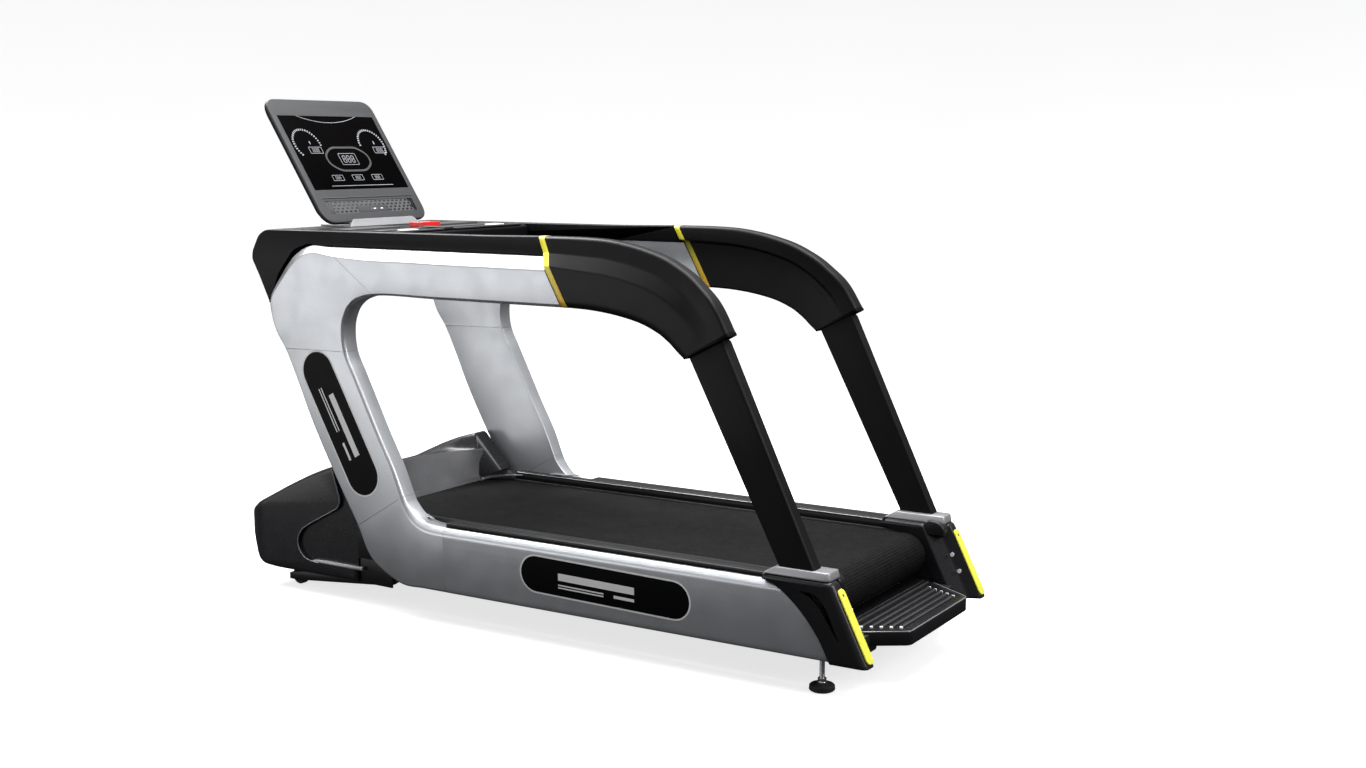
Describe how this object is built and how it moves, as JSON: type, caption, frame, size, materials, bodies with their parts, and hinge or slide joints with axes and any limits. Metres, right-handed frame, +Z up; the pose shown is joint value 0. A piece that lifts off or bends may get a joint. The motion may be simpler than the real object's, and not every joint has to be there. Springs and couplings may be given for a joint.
{
  "type": "gym treadmill",
  "caption": "Commercial treadmill with leaning silver side frames, a flat running deck, a motor hood, curved handrails and a display console.",
  "frame": {"origin": "centre of the footprint on the floor, under the middle of the machine's overall box", "axes": "+Z up, +Y forward along the running direction towards the console, +X to the runner's right"},
  "size_m": [0.858, 2.4, 1.6178],
  "materials": {
    "frame_silver": "satin metallic silver",
    "black_plastic": "fine-grained moulding",
    "hood_black": "semi-gloss blue-black",
    "panel_charcoal": "textured dark grey",
    "grip_black": "soft-touch satin",
    "trim_yellow": "glossy yellow",
    "leg_black": "powder coat",
    "steel_black": "black powder coat",
    "belt_black": "diamond textured",
    "deck_board": "phenolic faced board",
    "roller_steel": "turned",
    "flywheel_iron": "machined rim",
    "motor_grey": "enamel",
    "chrome": "bright",
    "rubber_black": "matte",
    "bezel_grey": "satin grey",
    "screen_glass": "glossy black",
    "bracket_silver": "satin silver",
    "key_red": "glossy red",
    "key_white": "glossy white"
  },
  "bodies": {
    "frame": {"arm_cover_left": "frame_silver", "arm_cover_right": "frame_silver", "bumper_strip_left": "trim_yellow", "bumper_strip_right": "trim_yellow", "console_bezel": "bezel_grey", "console_bracket": "bracket_silver", "console_crossbeam": "steel_black", "console_shell": "black_plastic", "console_tray": "black_plastic", "deck_board": "deck_board", "drive_belt": "rubber_black", "drive_motor": "motor_grey", "end_cap_left": "black_plastic", "end_cap_right": "black_plastic", "foot_rail_left": "panel_charcoal", "foot_rail_right": "panel_charcoal", "frame_rail_left": "steel_black", "frame_rail_right": "steel_black", "front_frame": "steel_black", "grip_left": "grip_black", "grip_right": "grip_black", "handrail_cap_left": "black_plastic", "handrail_cap_right": "black_plastic", "hood_rear_wall": "panel_charcoal", "leg_pad_left": "bracket_silver", "leg_pad_right": "bracket_silver", "lift_actuator": "motor_grey", "lower_corner_cover_left": "frame_silver", "lower_corner_cover_right": "frame_silver", "mast_left": "steel_black", "mast_right": "steel_black", "motor_controller": "motor_grey", "motor_hood": "hood_black", "power_inlet": "black_plastic", "rear_crossmember": "steel_black", "rear_leg_left": "leg_black", "rear_leg_right": "leg_black", "rear_step": "black_plastic", "running_belt": "belt_black", "screen_glass": "screen_glass", "side_panel_left": "frame_silver", "side_panel_right": "frame_silver", "trim_ring_left": "trim_yellow", "trim_ring_right": "trim_yellow", "upper_corner_cover_left": "frame_silver", "upper_corner_cover_right": "frame_silver", "upright_cover_left": "frame_silver", "upright_cover_right": "frame_silver"},
    "front_roller": {"front_roller": "roller_steel"},
    "rear_roller": {"rear_roller": "roller_steel"},
    "motor_rotor": {"motor_flywheel": "flywheel_iron"},
    "lift_frame": {"lift_frame": "steel_black"},
    "wheel_left": {"transport_wheel_left": "rubber_black"},
    "wheel_right": {"transport_wheel_right": "rubber_black"},
    "actuator_rod": {"actuator_rod": "chrome"},
    "stop_key": {"stop_key": "key_red"},
    "console_key_left": {"console_key_left": "key_white"},
    "console_key_right": {"console_key_right": "key_white"},
    "levelling_foot_left": {"levelling_foot_left": "rubber_black"},
    "levelling_foot_right": {"levelling_foot_right": "rubber_black"}
  },
  "joints": [
    {"name": "front_roller_spin", "type": "hinge", "parent": "frame", "child": "front_roller", "pos_m": [0, 0.745, 0.227], "axis": [1, 0, 0], "continuous": true},
    {"name": "rear_roller_spin", "type": "hinge", "parent": "frame", "child": "rear_roller", "pos_m": [0, -0.949, 0.227], "axis": [1, 0, 0], "continuous": true},
    {"name": "motor_spin", "type": "hinge", "parent": "frame", "child": "motor_rotor", "pos_m": [0, 0.935, 0.165], "axis": [1, 0, 0], "continuous": true},
    {"name": "lift_frame_swing", "type": "hinge", "parent": "frame", "child": "lift_frame", "pos_m": [0, 0.56, 0.075], "axis": [-1, 0, 0], "range_deg": [0, 43]},
    {"name": "left_wheel_spin", "type": "hinge", "parent": "lift_frame", "child": "wheel_left", "pos_m": [-0.284, 0.99, 0.029], "axis": [1, 0, 0], "continuous": true},
    {"name": "right_wheel_spin", "type": "hinge", "parent": "lift_frame", "child": "wheel_right", "pos_m": [0.284, 0.99, 0.029], "axis": [1, 0, 0], "continuous": true},
    {"name": "actuator_rod_slide", "type": "slide", "parent": "frame", "child": "actuator_rod", "axis": [0, 1, 0], "range_m": [0, 0.046]},
    {"name": "stop_key_push", "type": "slide", "parent": "frame", "child": "stop_key", "axis": [0, 0, -1], "range_m": [0, 0.003], "stiffness_N_per_m": 900, "springref_m": -0.001},
    {"name": "left_key_push", "type": "slide", "parent": "frame", "child": "console_key_left", "axis": [0, 0, -1], "range_m": [0, 0.0025], "stiffness_N_per_m": 500, "springref_m": -0.001},
    {"name": "right_key_push", "type": "slide", "parent": "frame", "child": "console_key_right", "axis": [0, 0, -1], "range_m": [0, 0.0025], "stiffness_N_per_m": 500, "springref_m": -0.001},
    {"name": "left_foot_screw", "type": "slide", "parent": "frame", "child": "levelling_foot_left", "axis": [0, 0, -1], "range_m": [0, 0.015]},
    {"name": "right_foot_screw", "type": "slide", "parent": "frame", "child": "levelling_foot_right", "axis": [0, 0, -1], "range_m": [0, 0.015]}
  ],
  "couplings": [
    {"joint": "rear_roller_spin", "follows": "front_roller_spin", "ratio": 1},
    {"joint": "motor_spin", "follows": "front_roller_spin", "ratio": 1.8},
    {"joint": "actuator_rod_slide", "follows": "lift_frame_swing", "m_per_rad": 0.0586}
  ]
}
